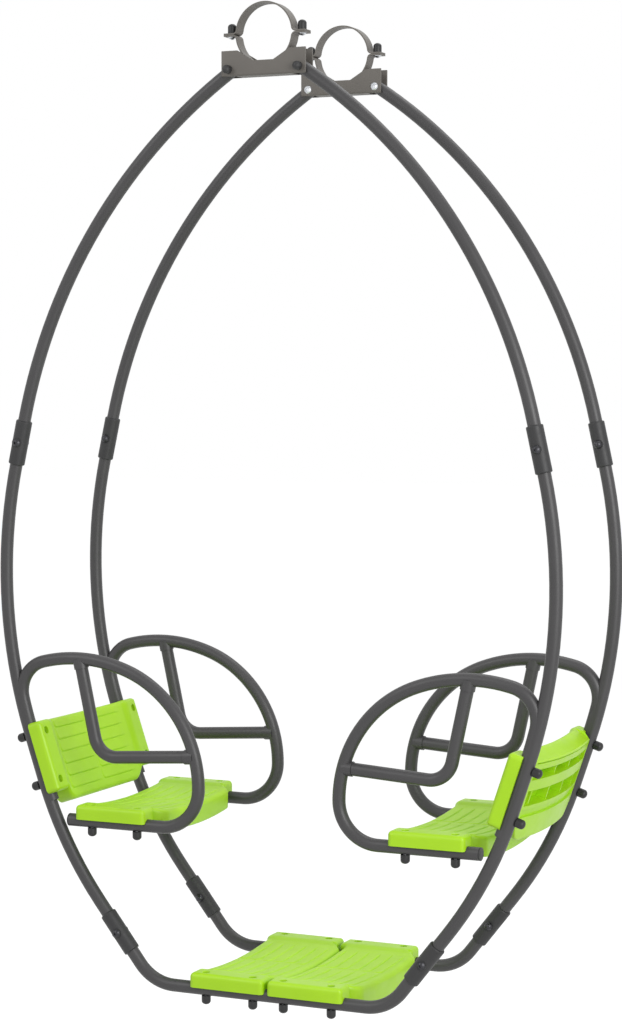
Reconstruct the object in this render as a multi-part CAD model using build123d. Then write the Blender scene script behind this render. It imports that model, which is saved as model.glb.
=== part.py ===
from build123d import *
from math import asin, cos, degrees, radians, sin, sqrt, tan
import os

# Two-seat glider swing that hangs from a round beam. Millimetres.
# X is the swinging direction, Y runs along the beam, Z is up.
# The origin is on the beam's axis, midway between the two side frames.
# Left is -Y and right is +Y; front is +X and rear is -X.

# ---- Beam clamps ----
beam_diameter = 120.0
beam_clearance = 0.5
strap_thickness = 3.0
strap_width = 30.0
strap_bend_radius = 8.0
ear_gap = 0.4
ear_reach = 90.0
ear_bolt_x = 78.0

# ---- Saddle brackets under the clamps ----
bracket_half_length = 93.4
bracket_top = -32.5
bracket_bottom = -84.0
bracket_plate = 4.0
bracket_notch_floor = -60.5
bracket_web_half_length = 62.0
bracket_weld_gap = 0.1
bracket_fold_radius = 4.0

# ---- Tubes ----
frame_spacing = 387.4
tube_diameter = 26.9
tube_wall = 2.0

# ---- Side frame, from the brackets down ----
hanger_bolt_x = 78.0
hanger_bolt_z = -70.0
hanger_end_margin = 15.0
upper_joint_x = 582.0
upper_joint_z = -830.0
upper_joint_lean = 12.5
joint_straight = 50.0
back_arc_radius = 1065.0
back_lean = 18.6
back_run = 104.0
low_arc_radius = 844.0
lower_joint_lean = 38.0
low_straight = 79.6
foot_leg_straight = 79.0
foot_bend_radius = 100.0

# ---- Tube joints: a reduced end slides into the tube above, under a sleeve ----
spigot_length = 50.0
spigot_gap = 0.5
spigot_clearance = 0.1
spigot_neck = 6.0
joint_offset = 25.0
sleeve_length = 95.0
sleeve_wall = 3.7
sleeve_clearance = 0.08
sleeve_rim_radius = 3.0
sleeve_boss_diameter = 20.0
sleeve_boss_height = 1.2

# ---- Armrest hoops and grab bars ----
leg_nest = 5.5
leg_gap = 0.05
hoop_apex_x = 445.0
hoop_apex_z = -1285.3
hoop_top_radius = 346.0
hoop_top_turn = 20.2
hoop_front_radius = 254.0
hoop_heel_radius = 85.0
hoop_back_radius = 67.0
hoop_end_x = 463.0
hoop_leg_tail = 3.4
plug_flange = 3.0
plug_length = 14.0
plug_clearance = 0.1
grab_top_x = 439.8
grab_lean = 12.2
grab_corner_drop = 207.5
grab_rise = 3.8
grab_bend_radius = 50.0
collar_diameter = 31.0
collar_length = 8.0
cope_gap = 0.05

# ---- Moulded boards: one moulding, used six times ----
board_pad_width = 164.0
board_overhang = 18.3
board_pad_length = 44.0
board_top = 35.3
board_skirt = 4.7
board_pad_step = 5.0
board_step_run = 6.0
board_dish = 10.0
board_flange = -14.5
board_wall = 4.0
board_recess = 10.0
board_lip = 19.5
board_lip_slant = 36.0
board_corner_radius = 7.0
board_edge_radius = 4.0
board_lip_radius = 12.0
board_rib = 3.0
board_rib_count = 3
board_cross_rib_count = 7
board_cross_rib_drop = 20.0
board_saddle_gap = 0.1
board_boss_diameter = 26.0
board_recess_diameter = 16.0
board_bolt_floor = 5.0
board_bolt_pitch = 107.5
edge_tolerance = 0.05
foot_board_gap = 13.0
seat_board_x = 357.8
back_board_run = 60.0

# ---- Fasteners ----
bolt_diameter = 8.0
bolt_hole_clearance = 0.2
nut_bore_clearance = 0.05
button_diameter = 17.4
button_height = 5.0
socket_width = 5.0
socket_depth = 2.5
pan_diameter = 14.0
pan_height = 4.6
pan_edge_radius = 2.0
nut_flats = 13.0
nut_height = 6.5
cap_diameter = 17.4
cap_height = 17.0
cap_wall = 0.9
bolt_tail = 1.5
seat_gap = 0.05
low_dome_diameter = 18.0
low_dome_height = 8.0
low_dome_bore = 6.6
low_dome_reach = 6.0
spacer_diameter = 16.0

# ---- Sizes that follow from the ones above ----
tube_radius = tube_diameter / 2
tube_bore_radius = tube_radius - tube_wall
spigot_radius = tube_bore_radius - spigot_clearance
spigot_bore_radius = spigot_radius - tube_wall
bolt_radius = bolt_diameter / 2
bolt_hole_radius = bolt_radius + bolt_hole_clearance
strap_bore_radius = beam_diameter / 2 + beam_clearance
strap_line_radius = strap_bore_radius + strap_thickness / 2
strap_outer_radius = strap_bore_radius + strap_thickness
plate_gap = strap_width + 2 * bracket_weld_gap
bracket_width = plate_gap + 2 * bracket_plate
sleeve_bore_radius = tube_radius + sleeve_clearance
sleeve_radius = sleeve_bore_radius + sleeve_wall
sleeve_face = sleeve_radius + sleeve_boss_height

board_half_length = frame_spacing / 2 + board_overhang
board_middle_end = board_half_length - board_pad_length
board_bolt_seat = tube_radius + board_bolt_floor
board_grip = board_bolt_seat + tube_radius
spacer_thickness = (plate_gap - tube_diameter) / 2 - 2 * seat_gap
nut_reach = nut_height + bolt_tail

SIDES = {"left": -frame_spacing / 2, "right": frame_spacing / 2}
ENDS = ("front", "rear")


# ---- Helpers ----
def toward(angle):
    """Unit step in the side plane, for an angle in degrees from +X towards +Z."""
    return Vector(cos(radians(angle)), sin(radians(angle)))


def follow(start, heading, steps):
    """Tangent chain in the side plane: a number is a straight, a pair is an arc's radius and turn."""
    edges = []
    point = Vector(*start)
    for step in steps:
        if isinstance(step, tuple):
            radius, turn = step
            edge = JernArc(point, toward(heading), radius, turn)
            heading += turn
        else:
            edge = Line(point, point + step * toward(heading))
        edges.append(edge)
        point = edge @ 1
    return Wire(edges), (point.X, point.Y), heading


def side_plane(y):
    """Plane of a side frame: its own x is X and its own y is Z."""
    return Plane(origin=(0, y, 0), x_dir=(1, 0, 0), z_dir=(0, -1, 0))


def rod(path, radius, y=0.0):
    """Round bar along a chain of the side plane."""
    wire = side_plane(y) * path
    start = Plane(origin=wire @ 0, z_dir=wire % 0)
    return sweep(start * Circle(radius), wire)


def pipe(path, y=0.0):
    """Tube of the common size along a chain of the side plane."""
    return rod(path, tube_radius, y) - rod(path, tube_bore_radius, y)


def along(origin, axis):
    """Location whose Z runs along an axis from an origin."""
    return Plane(origin=origin, z_dir=axis)


def disc(radius, low, high):
    """Cylinder on the Z axis between two heights."""
    return Pos(0, 0, (low + high) / 2) * Cylinder(radius, high - low)


def drill(origin, axis, radius, reach):
    """Straight drill through an origin, as long each way as the reach."""
    return along(origin, axis) * disc(radius, -reach, reach)


def fore_aft(shape, end):
    """The front piece as it is, or mirrored to the rear end."""
    return shape if end == "front" else mirror(shape, about=Plane.YZ)


def group(pieces):
    """Several separate solids in one node."""
    return Compound(children=[solid for piece in pieces for solid in piece.solids()])


# ---- Routes of the tubes in the side plane, for the front half ----
upper_joint = Vector(upper_joint_x, upper_joint_z)
upper_heading = upper_joint_lean - 90
lower_heading = -lower_joint_lean - 90
back_heading = -back_lean - 90


def hanger_route():
    """From the open lower end, up through the upper joint, to the end inside the bracket."""
    heading = upper_heading + 180
    start = upper_joint - joint_offset * toward(heading)
    arc_start = upper_joint + joint_straight * toward(heading)
    chord = Vector(hanger_bolt_x, hanger_bolt_z) - arc_start
    half_turn = toward(heading).get_angle(chord)
    radius = chord.length / (2 * sin(radians(half_turn)))
    steps = [joint_offset + joint_straight, (radius, 2 * half_turn), hanger_end_margin]
    return follow(start, heading, steps)[0]


def frame_point(steps):
    """Point reached from the upper joint along the seat tube."""
    return Vector(*follow(upper_joint, upper_heading, steps)[1])


back_arc = (back_arc_radius, back_heading - upper_heading)
low_arc = (low_arc_radius, lower_heading - back_heading)
back_start = frame_point([joint_straight, back_arc])
lower_joint = frame_point([joint_straight, back_arc, back_run, low_arc, low_straight])


def seat_tube_route():
    """From the shoulder under the upper joint to the open end at the lower joint."""
    start = upper_joint + (joint_offset + spigot_gap) * toward(upper_heading)
    first = joint_straight - joint_offset - spigot_gap
    steps = [first, back_arc, back_run, low_arc, low_straight + joint_offset]
    return follow(start, upper_heading, steps)[0]


foot_bend = (foot_bend_radius, -180 - lower_heading)
foot_corner = Vector(*follow(lower_joint, lower_heading, [foot_leg_straight, foot_bend])[1])
foot_z = foot_corner.Y


def foot_tube_route():
    """From the front shoulder, down and level to the rear, and up to the rear shoulder."""
    start = lower_joint + (joint_offset + spigot_gap) * toward(lower_heading)
    leg = foot_leg_straight - joint_offset - spigot_gap
    return follow(start, lower_heading, [leg, foot_bend, 2 * foot_corner.X, foot_bend, leg])[0]


def hoop_centres():
    """Centres of the hoop's heel, top and back bends, each tangent inside the next."""
    top = Vector(hoop_apex_x, hoop_apex_z - hoop_top_radius)
    front = top + (hoop_top_radius - hoop_front_radius) * toward(90 + hoop_top_turn)
    heel = front - Vector(hoop_front_radius - hoop_heel_radius, 0)
    frame_centre = upper_joint + joint_straight * toward(upper_heading)
    frame_centre += back_arc_radius * toward(upper_heading - 90)
    from_frame = back_arc_radius - leg_nest - hoop_back_radius
    from_top = hoop_top_radius - hoop_back_radius
    line = top - frame_centre
    reach = (from_frame**2 - from_top**2 + line.length**2) / (2 * line.length)
    rise = sqrt(from_frame**2 - reach**2)
    across = Vector(-line.Y, line.X).normalized()
    back = frame_centre + reach * line.normalized() + rise * across
    return heel, top, back, frame_centre


def hoop_route():
    """From the plugged end under the seat, round the front and top, and down the backrest."""
    heel, top, back, frame_centre = hoop_centres()
    top_end = (back - top).get_angle(Vector(1, 0))
    leg_start = -(back - frame_centre).get_angle(Vector(1, 0))
    steps = [
        hoop_end_x - heel.X,
        (hoop_heel_radius, -90),
        (hoop_front_radius, hoop_top_turn - 90),
        (hoop_top_radius, top_end - 90 - hoop_top_turn),
        (hoop_back_radius, leg_start - top_end),
        (back_arc_radius - leg_nest, -back_lean - leg_start),
        back_run,
        (low_arc_radius - leg_nest, -hoop_leg_tail),
    ]
    return follow((hoop_end_x, seat_run_z), 180, steps)[0]


seat_run_z = hoop_centres()[0].Y - hoop_heel_radius


def grab_steps():
    """Start, heading and steps of the grab bar, from the hoop's top round to its front."""
    heel, top, back, frame_centre = hoop_centres()
    front = heel + Vector(hoop_front_radius - hoop_heel_radius, 0)
    along_top = grab_top_x - top.X
    start = top + Vector(along_top, sqrt(hoop_top_radius**2 - along_top**2))
    down = -90 - grab_lean
    turn = -90 - grab_rise + grab_lean
    corner_length = grab_bend_radius * tan(radians(-turn / 2))
    drop = grab_corner_drop / cos(radians(grab_lean)) - corner_length
    bend_end = Vector(*follow(start, down, [drop, (grab_bend_radius, turn)])[1])
    step = toward(down + turn)
    level = (bend_end - front).dot(step)
    offset = (bend_end - front).length**2 - hoop_front_radius**2
    reach = -level + sqrt(level**2 - offset)
    return start, down, [drop, (grab_bend_radius, turn), reach]


# ---- Fasteners, each along +Z from the face its head or nut bears on ----
def socketed(head, top):
    """Head with a hexagon socket in its top."""
    socket = extrude(RegularPolygon(socket_width / 2, 6, major_radius=False), -socket_depth)
    return head - Pos(0, 0, top) * socket


def button_head():
    """Low domed head with a hexagon socket."""
    radius = button_diameter / 2
    dome = (radius**2 + button_height**2) / (2 * button_height)
    head = disc(radius, 0, button_height) & Pos(0, 0, button_height - dome) * Sphere(dome)
    return socketed(head, button_height)


def pan_head():
    """Cylinder head with a rounded rim and a hexagon socket."""
    head = disc(pan_diameter / 2, 0, pan_height)
    head = fillet(head.edges().group_by(Axis.Z)[-1], pan_edge_radius)
    return socketed(head, pan_height)


def bolt(head, grip, reach):
    """Bolt with its head above the bearing face and its shank reaching past the grip below."""
    return Pos(0, 0, seat_gap) * head + disc(bolt_radius, -(grip + reach), seat_gap)


def nut():
    """Plain hexagon nut."""
    blank = extrude(RegularPolygon(nut_flats / 2, 6, major_radius=False), nut_height)
    return Pos(0, 0, seat_gap) * (blank - disc(bolt_radius + nut_bore_clearance, 0, nut_height))


def nut_cap(base=0.0):
    """Hollow domed cover over a nut and the bolt's tail, open towards its base."""
    radius = cap_diameter / 2
    middle = cap_height - radius
    outer = disc(radius, base, middle) + Pos(0, 0, middle) * Sphere(radius, arc_size1=0, align=None)
    bore = radius - cap_wall
    inner = disc(bore, base, middle) + Pos(0, 0, middle) * Sphere(bore, arc_size1=0, align=None)
    return Pos(0, 0, seat_gap) * (outer - inner)


def tube_cap():
    """Nut cover whose base is shaped to sit on a tube that runs along X."""
    crest = Pos(0, 0, -tube_radius) * Rotation(0, 90, 0) * disc(tube_radius + seat_gap, -cap_height, cap_height)
    return nut_cap(-tube_radius / 2) - crest


def cap_nut():
    """Low domed nut with a blind bore."""
    radius = low_dome_diameter / 2
    dome = (radius**2 + low_dome_height**2) / (2 * low_dome_height)
    head = disc(radius, 0, low_dome_height) & Pos(0, 0, low_dome_height - dome) * Sphere(dome)
    bore = disc(bolt_radius + nut_bore_clearance, 0, low_dome_bore)
    return Pos(0, 0, seat_gap) * (head - bore)


# ---- Clamps and brackets ----
def strap_half():
    """Upper half of a ring clamp with its two ears, about the beam's axis."""
    ear_z = (ear_gap + strap_thickness) / 2
    bend_reach = strap_line_radius + strap_bend_radius
    rise = degrees(asin((ear_z + strap_bend_radius) / bend_reach))
    flat = ear_reach - bend_reach * cos(radians(rise))
    bend = (strap_bend_radius, rise - 90)
    steps = [flat, bend, (strap_line_radius, 180 - 2 * rise), bend, flat]
    wire = side_plane(0) * follow((ear_reach, ear_z), 180, steps)[0]
    section = Plane(origin=wire @ 0, x_dir=(0, 1, 0), z_dir=wire % 0)
    strap = sweep(section * Rectangle(strap_width, strap_thickness), path=wire)
    for x in (-ear_bolt_x, ear_bolt_x):
        strap -= drill((x, 0, 0), (0, 0, 1), bolt_hole_radius, ear_reach)
    return strap


def saddle_bracket():
    """Folded plate channel round the lower strap, notched for the beam."""
    length = 2 * bracket_half_length
    height = bracket_top - bracket_bottom
    middle = (bracket_top + bracket_bottom) / 2
    outer = Pos(0, 0, middle) * Box(length, bracket_width, height)
    folds = outer.edges().filter_by(Axis.X).group_by(Axis.Z)[0]
    outer = fillet(folds, bracket_fold_radius)
    channel = Pos(0, 0, middle + bracket_plate) * Box(length, plate_gap, height)
    bracket = outer - channel
    end_length = bracket_half_length - bracket_web_half_length
    for side in (-1, 1):
        x = side * (bracket_web_half_length + end_length / 2)
        bracket -= Pos(x, 0, middle) * Box(end_length, plate_gap, height)
        bolt_hole = (side * hanger_bolt_x, 0, hanger_bolt_z)
        bracket -= drill(bolt_hole, (0, 1, 0), bolt_hole_radius, bracket_width)
    round_notch = drill((0, 0, 0), (0, 1, 0), strap_outer_radius, bracket_width)
    above_floor = Pos(0, 0, bracket_notch_floor + length / 2) * Box(length, bracket_width, length)
    return bracket - (round_notch & above_floor)


# ---- Side frame tubes, on the front half ----
def spigot(origin, axis):
    """Reduced end of a tube: a thick neck behind the shoulder and a thinner tube beyond it."""
    neck = disc(tube_radius - tube_wall / 2, -spigot_neck, 0)
    end = neck + disc(spigot_radius, 0, spigot_length)
    return along(origin, axis) * (end - disc(spigot_bore_radius, -spigot_neck, spigot_length))


def joint_hole(joint, y):
    """Cross hole through a tube joint."""
    return drill((joint.X, y, joint.Y), (0, 1, 0), bolt_hole_radius, 2 * sleeve_radius)


def hanger_tube(y):
    """Long curved tube from the bracket down to the upper joint."""
    tube = pipe(hanger_route(), y) - joint_hole(upper_joint, y)
    return tube - joint_hole(Vector(hanger_bolt_x, hanger_bolt_z), y)


def seat_tube(y):
    """Curved tube behind the backrest, with a spigot at its upper end."""
    route = seat_tube_route()
    wire = side_plane(y) * route
    tube = pipe(route, y) + spigot(wire @ 0, -(wire % 0))
    return tube - joint_hole(upper_joint, y) - joint_hole(lower_joint, y) - board_drills(back_place())


def foot_tube(y):
    """Level tube under the foot boards with both ends turned up into spigots."""
    route = foot_tube_route()
    wire = side_plane(y) * route
    tube = pipe(route, y) + spigot(wire @ 0, -(wire % 0)) + spigot(wire @ 1, wire % 1)
    for x in (lower_joint.X, -lower_joint.X):
        tube -= joint_hole(Vector(x, lower_joint.Y), y)
    return tube - board_drills(foot_place("front")) - board_drills(foot_place("rear"))


def joint_sleeve(joint, heading, y):
    """Moulded cover round a tube joint, with a flat boss at each end of its bolt."""
    cover = disc(sleeve_radius, -sleeve_length / 2, sleeve_length / 2)
    cover = fillet(cover.edges(), sleeve_rim_radius)
    cover += drill((0, 0, 0), (0, 1, 0), sleeve_boss_diameter / 2, sleeve_face)
    cover -= disc(sleeve_bore_radius, -sleeve_length, sleeve_length)
    cover -= drill((0, 0, 0), (0, 1, 0), bolt_hole_radius, 2 * sleeve_radius)
    step = toward(heading)
    place = Plane(origin=(joint.X, y, joint.Y), x_dir=(step.Y, 0, -step.X), z_dir=(step.X, 0, step.Y))
    return place * cover


# ---- Armrest hoops and grab bars, on the front half ----
def hoop(y):
    """Armrest hoop: bottom run under the seat, round front and top, leg nested on the seat tube."""
    route = hoop_route()
    frame = seat_tube_route()
    bore = rod(route, tube_bore_radius, y) - rod(frame, tube_radius + leg_gap + tube_wall, y)
    shape = rod(route, tube_radius, y) - bore - rod(frame, tube_radius + leg_gap, y)
    return shape - board_drills(seat_place("front")) - board_drills(back_place())


def hoop_plug(y):
    """Plug with a flange in the open end of the hoop's bottom run."""
    plug = disc(tube_bore_radius - plug_clearance, -plug_length, 0) + disc(tube_radius, 0, plug_flange)
    return along((hoop_end_x, y, seat_run_z), (1, 0, 0)) * plug


def grab_bar(y):
    """Bent bar across the hoop with a weld collar at each end, coped to the hoop."""
    start, down, steps = grab_steps()
    route, end, across = follow(start, down, steps)
    bar = rod(route, tube_radius, y)
    reach = tube_radius + collar_length
    for point, heading in ((start, down), (end, across + 180)):
        bar += rod(follow(point, heading, [reach])[0], collar_diameter / 2, y)
    return bar - rod(route, tube_bore_radius, y) - rod(hoop_route(), tube_radius + cope_gap, y)


# ---- Moulded boards. Own frame: X towards the lip, Y along the board, Z towards the sitter ----
def board_section(inset, end):
    """Solid between the dished top surface, lowered by the inset, and the level lower edge."""
    shoulder = board_middle_end - board_step_run
    top = board_top - inset
    dish = board_top - board_pad_step - inset
    bottom = board_flange - inset
    outline = [
        Line((-end, top), (-shoulder, dish)),
        ThreePointArc((-shoulder, dish), (0, dish - board_dish), (shoulder, dish)),
        Polyline((shoulder, dish), (end, top), (end, bottom), (-end, bottom), (-end, top)),
    ]
    face = Plane.YZ * make_face(Curve() + outline)
    return extrude(face, board_pad_width, both=True)


def board_middle(inset):
    """Dished middle of a board with the rolled lip, its ends buried in the pads' walls."""
    end = board_middle_end if inset else board_middle_end + board_wall / 2
    half = board_pad_width / 2
    rear = board_recess - half + inset
    shoulder = half - inset
    lip = half + board_lip - inset
    lip_end = board_middle_end - board_lip_slant - inset
    corners = [
        (rear, -end), (shoulder, -end), (lip, -lip_end),
        (lip, lip_end), (shoulder, end), (rear, end),
    ]
    plan = extrude(Polygon(*corners, align=None), board_pad_width, both=True)
    block = plan & board_section(inset, end)
    front_edges = block.edges().filter_by(lambda edge: abs((edge @ 0.5).X - lip) < edge_tolerance)
    return fillet(front_edges.group_by(Axis.Z)[-1], board_lip_radius - inset)


def board_pad(side, inset):
    """Flat raised pad at one end of a board."""
    width = board_pad_width - 2 * inset
    length = board_pad_length - 2 * inset
    height = board_top - board_skirt
    pad = Pos(0, 0, (board_top + board_skirt) / 2 - inset) * Box(width, length, height)
    pad = fillet(pad.edges().filter_by(Axis.Z), board_corner_radius - inset)
    if not inset:
        pad = fillet(pad.edges().group_by(Axis.Z)[-1], board_edge_radius)
    return Pos(0, side * (board_half_length - board_pad_length / 2), 0) * pad


def board_bolt_points():
    """Middles of a board's four bolts."""
    half_pitch = board_bolt_pitch / 2
    return [(x, y) for x in (-half_pitch, half_pitch) for y in SIDES.values()]


def board_ribs():
    """Long and cross ribs under the middle of a board, kept inside its outline."""
    inner_width = board_pad_width - board_recess + board_lip - 2 * board_wall
    rear = board_recess - board_pad_width / 2 + board_wall
    length = 2 * board_middle_end + board_wall
    long_ribs = []
    for i in range(board_rib_count):
        x = rear + (i + 1) * inner_width / (board_rib_count + 1)
        long_ribs.append(Pos(x, 0, 0) * Box(board_rib, length, length))
    cross_ribs = []
    for i in range(board_cross_rib_count):
        y = board_middle_end * (2 * (i + 1) / (board_cross_rib_count + 1) - 1)
        cross_ribs.append(Pos(rear + inner_width / 2, y, 0) * Box(inner_width, board_rib, length))
    outline = board_middle(0)
    raised = Pos(0, 0, board_cross_rib_drop) * outline
    long_part = (long_ribs[0] + long_ribs[1:]) & outline
    cross_part = (cross_ribs[0] + cross_ribs[1:]) & outline & raised
    return long_part + cross_part


def board():
    """The moulding, whole, before its saddles are cut to a tube."""
    shape = board_middle(0) - board_middle(board_wall)
    shape += board_ribs()
    for side in (-1, 1):
        shape += board_pad(side, 0)
        shape -= board_pad(side, board_wall)
    for x, y in board_bolt_points():
        shape += Pos(x, y, 0) * disc(board_boss_diameter / 2, board_skirt, board_top)
        shape -= Pos(x, y, 0) * disc(board_recess_diameter / 2, board_bolt_seat, board_top)
        shape -= Pos(x, y, 0) * disc(bolt_hole_radius, 0, board_top)
    return shape


def foot_place(end):
    """Frame of a foot board on the level foot tube."""
    x = (board_pad_width + foot_board_gap) / 2
    return Plane(origin=(x if end == "front" else -x, 0, foot_z), z_dir=(0, 0, 1))


def seat_place(end):
    """Frame of a seat board on the hoop's bottom run."""
    return Plane(origin=(seat_board_x if end == "front" else -seat_board_x, 0, seat_run_z), z_dir=(0, 0, 1))


def back_place():
    """Frame of the front backrest on the hoop's leg, lip down."""
    down = toward(back_heading)
    inward = toward(back_heading - 90)
    middle = back_start + back_board_run * down + leg_nest * inward
    return Plane(origin=(middle.X, 0, middle.Y), x_dir=(down.X, 0, down.Y), z_dir=(inward.X, 0, inward.Y))


def board_drills(place):
    """Drills for a board's four bolts, through every tube they pass."""
    reach = tube_diameter + leg_nest
    drill_bit = disc(bolt_hole_radius, -reach, reach)
    return place * Compound(children=[Pos(x, y, 0) * drill_bit for x, y in board_bolt_points()])


def on_tubes(shape, route):
    """Board with saddles cut for the two tubes it sits on."""
    for y in SIDES.values():
        shape -= rod(route, tube_radius + board_saddle_gap, y)
    return shape


def under_bolts(place, piece, height):
    """One copy of a fastener at each bolt of a board, at a height in the board's frame."""
    return [place * Pos(x, y, height) * piece for x, y in board_bolt_points()]


# ---- Cross bolts: heads on one side of a frame, nuts on the other ----
def hanger_fastening(piece, y, facing, height):
    """A fastener at both hanger bolts of a bracket, at a distance from the frame's plane."""
    places = []
    for x in (hanger_bolt_x, -hanger_bolt_x):
        origin = (x, y + facing * height, hanger_bolt_z)
        places.append(along(origin, (0, facing, 0)) * piece)
    return places


def clamp_fastening(piece, y, facing):
    """A fastener on the ears of a clamp, above them or below."""
    height = facing * (ear_gap / 2 + strap_thickness)
    return [along((x, y, height), (0, 0, facing)) * piece for x in (ear_bolt_x, -ear_bolt_x)]


def joint_fastening(piece, y, facing):
    """A fastener at each sleeve of a side frame."""
    places = []
    for joint in (upper_joint, lower_joint):
        for x in (joint.X, -joint.X):
            origin = (x, y + facing * sleeve_face, joint.Y)
            places.append(along(origin, (0, facing, 0)) * piece)
    return places


# ---- Build every piece ----
nodes = {}
moulding = board()
back_board = on_tubes(back_place() * moulding, hoop_route())

for end in ENDS:
    seat = seat_place(end)
    foot = foot_place(end)
    seat_run = Wire([Line((-2 * seat_board_x, seat_run_z), (2 * seat_board_x, seat_run_z))])
    nodes[f"seat_board_{end}"] = on_tubes(seat * moulding, seat_run)
    nodes[f"foot_board_{end}"] = on_tubes(foot * moulding, foot_tube_route())
    nodes[f"back_board_{end}"] = fore_aft(back_board, end)

clamp_bolt = bolt(button_head(), ear_gap + 2 * strap_thickness, nut_reach)
hanger_bolt = bolt(button_head(), bracket_width, nut_reach)
joint_bolt = bolt(button_head(), 2 * sleeve_face, low_dome_reach)
spacer = disc(spacer_diameter / 2, 0, spacer_thickness) - disc(bolt_hole_radius, 0, spacer_thickness)
plate_face = bracket_width / 2
spacer_face = tube_radius + seat_gap
hanger_bolts = []
hanger_nuts = []
hanger_caps = []
spacers = []
joint_bolts = []
joint_nuts = []

for side, y in SIDES.items():
    outward = 1 if y > 0 else -1
    nodes[f"foot_tube_{side}"] = foot_tube(y)
    nodes[f"clamp_upper_strap_{side}"] = Pos(0, y, 0) * strap_half()
    nodes[f"clamp_lower_strap_{side}"] = Pos(0, y, 0) * mirror(strap_half(), about=Plane.XY)
    nodes[f"saddle_bracket_{side}"] = Pos(0, y, 0) * saddle_bracket()
    nodes[f"clamp_bolts_{side}"] = group(clamp_fastening(clamp_bolt, y, -1))
    nodes[f"clamp_nuts_{side}"] = group(clamp_fastening(nut(), y, 1))
    nodes[f"clamp_nut_caps_{side}"] = group(clamp_fastening(nut_cap(), y, 1))
    hanger_bolts += hanger_fastening(hanger_bolt, y, -outward, plate_face)
    hanger_nuts += hanger_fastening(nut(), y, outward, plate_face)
    hanger_caps += hanger_fastening(nut_cap(), y, outward, plate_face)
    spacers += hanger_fastening(spacer, y, -outward, spacer_face)
    spacers += hanger_fastening(spacer, y, outward, spacer_face)
    joint_bolts += joint_fastening(joint_bolt, y, outward)
    joint_nuts += joint_fastening(cap_nut(), y, -outward)
    for end in ENDS:
        place = f"{side}_{end}"
        nodes[f"hanger_tube_{place}"] = fore_aft(hanger_tube(y), end)
        nodes[f"seat_tube_{place}"] = fore_aft(seat_tube(y), end)
        nodes[f"upper_joint_sleeve_{place}"] = fore_aft(joint_sleeve(upper_joint, upper_heading, y), end)
        nodes[f"lower_joint_sleeve_{place}"] = fore_aft(joint_sleeve(lower_joint, lower_heading, y), end)
        nodes[f"armrest_hoop_{place}"] = fore_aft(hoop(y), end)
        nodes[f"grab_bar_{place}"] = fore_aft(grab_bar(y), end)

nodes["hanger_bolts"] = group(hanger_bolts)
nodes["hanger_nuts"] = group(hanger_nuts)
nodes["hanger_nut_caps"] = group(hanger_caps)
nodes["hanger_spacers"] = group(spacers)
nodes["joint_bolts"] = group(joint_bolts)
nodes["joint_cap_nuts"] = group(joint_nuts)
nodes["hoop_end_plugs"] = group([fore_aft(hoop_plug(y), end) for y in SIDES.values() for end in ENDS])

level_bolt = bolt(pan_head(), board_grip, nut_reach)
back_bolt = bolt(pan_head(), board_grip + leg_nest, nut_reach)
turned = Rotation(180, 0, 0)
bolts = []
nuts = []
caps = []
for place in (seat_place("front"), seat_place("rear"), foot_place("front"), foot_place("rear")):
    bolts += under_bolts(place, level_bolt, board_bolt_seat)
    nuts += under_bolts(place, turned * nut(), -tube_radius)
    caps += under_bolts(place, turned * tube_cap(), -tube_radius)
back_bolts = []
for end in ENDS:
    back_face = -tube_radius - leg_nest
    back_bolts += [fore_aft(piece, end) for piece in under_bolts(back_place(), back_bolt, board_bolt_seat)]
    nuts += [fore_aft(piece, end) for piece in under_bolts(back_place(), turned * nut(), back_face)]
    caps += [fore_aft(piece, end) for piece in under_bolts(back_place(), turned * tube_cap(), back_face)]
nodes["board_bolts"] = group(bolts)
nodes["back_board_bolts"] = group(back_bolts)
nodes["board_nuts"] = group(nuts)
nodes["board_nut_caps"] = group(caps)

os.makedirs("parts", exist_ok=True)
for name, shape in nodes.items():
    export_step(shape, f"parts/{name}.step")
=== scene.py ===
# %% [markdown]
# # A glider swing, dressed for the studio
# The swing is a rigid frame of bent steel tube that hangs from a round beam and
# carries six moulded boards: two seats, two backrests and two foot boards. The fixed
# frame of exact parts is loaded first. The cells after it give the parts their finishes,
# stand fuller shapes in for the boards, the nut covers and the folded channels, and set
# up the light and the camera.

# %% Load the fixed frame
import math

import bmesh
import bpy
import numpy as np
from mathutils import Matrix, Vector


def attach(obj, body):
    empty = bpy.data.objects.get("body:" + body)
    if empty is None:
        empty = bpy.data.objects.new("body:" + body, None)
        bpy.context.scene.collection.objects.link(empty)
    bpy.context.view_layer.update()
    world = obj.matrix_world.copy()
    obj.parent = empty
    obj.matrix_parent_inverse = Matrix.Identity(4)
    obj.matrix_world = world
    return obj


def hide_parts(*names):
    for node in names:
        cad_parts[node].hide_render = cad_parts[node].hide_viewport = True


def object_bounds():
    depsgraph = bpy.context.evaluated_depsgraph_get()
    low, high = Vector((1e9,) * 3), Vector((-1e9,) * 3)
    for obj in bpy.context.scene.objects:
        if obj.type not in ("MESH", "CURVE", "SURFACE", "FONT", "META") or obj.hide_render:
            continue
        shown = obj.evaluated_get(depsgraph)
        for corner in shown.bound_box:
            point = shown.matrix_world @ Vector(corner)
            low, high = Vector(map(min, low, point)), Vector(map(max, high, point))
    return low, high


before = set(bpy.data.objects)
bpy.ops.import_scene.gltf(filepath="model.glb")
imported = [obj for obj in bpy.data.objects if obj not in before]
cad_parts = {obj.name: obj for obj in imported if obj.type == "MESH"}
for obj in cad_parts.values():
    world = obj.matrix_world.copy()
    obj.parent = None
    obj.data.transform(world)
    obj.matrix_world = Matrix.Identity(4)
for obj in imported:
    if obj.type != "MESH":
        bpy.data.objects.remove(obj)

cad_bounds = [list(corner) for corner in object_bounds()]
millimetre = 0.001
swing_body = "swing"
print("frame holds", len(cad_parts), "parts, box", cad_bounds)

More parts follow.
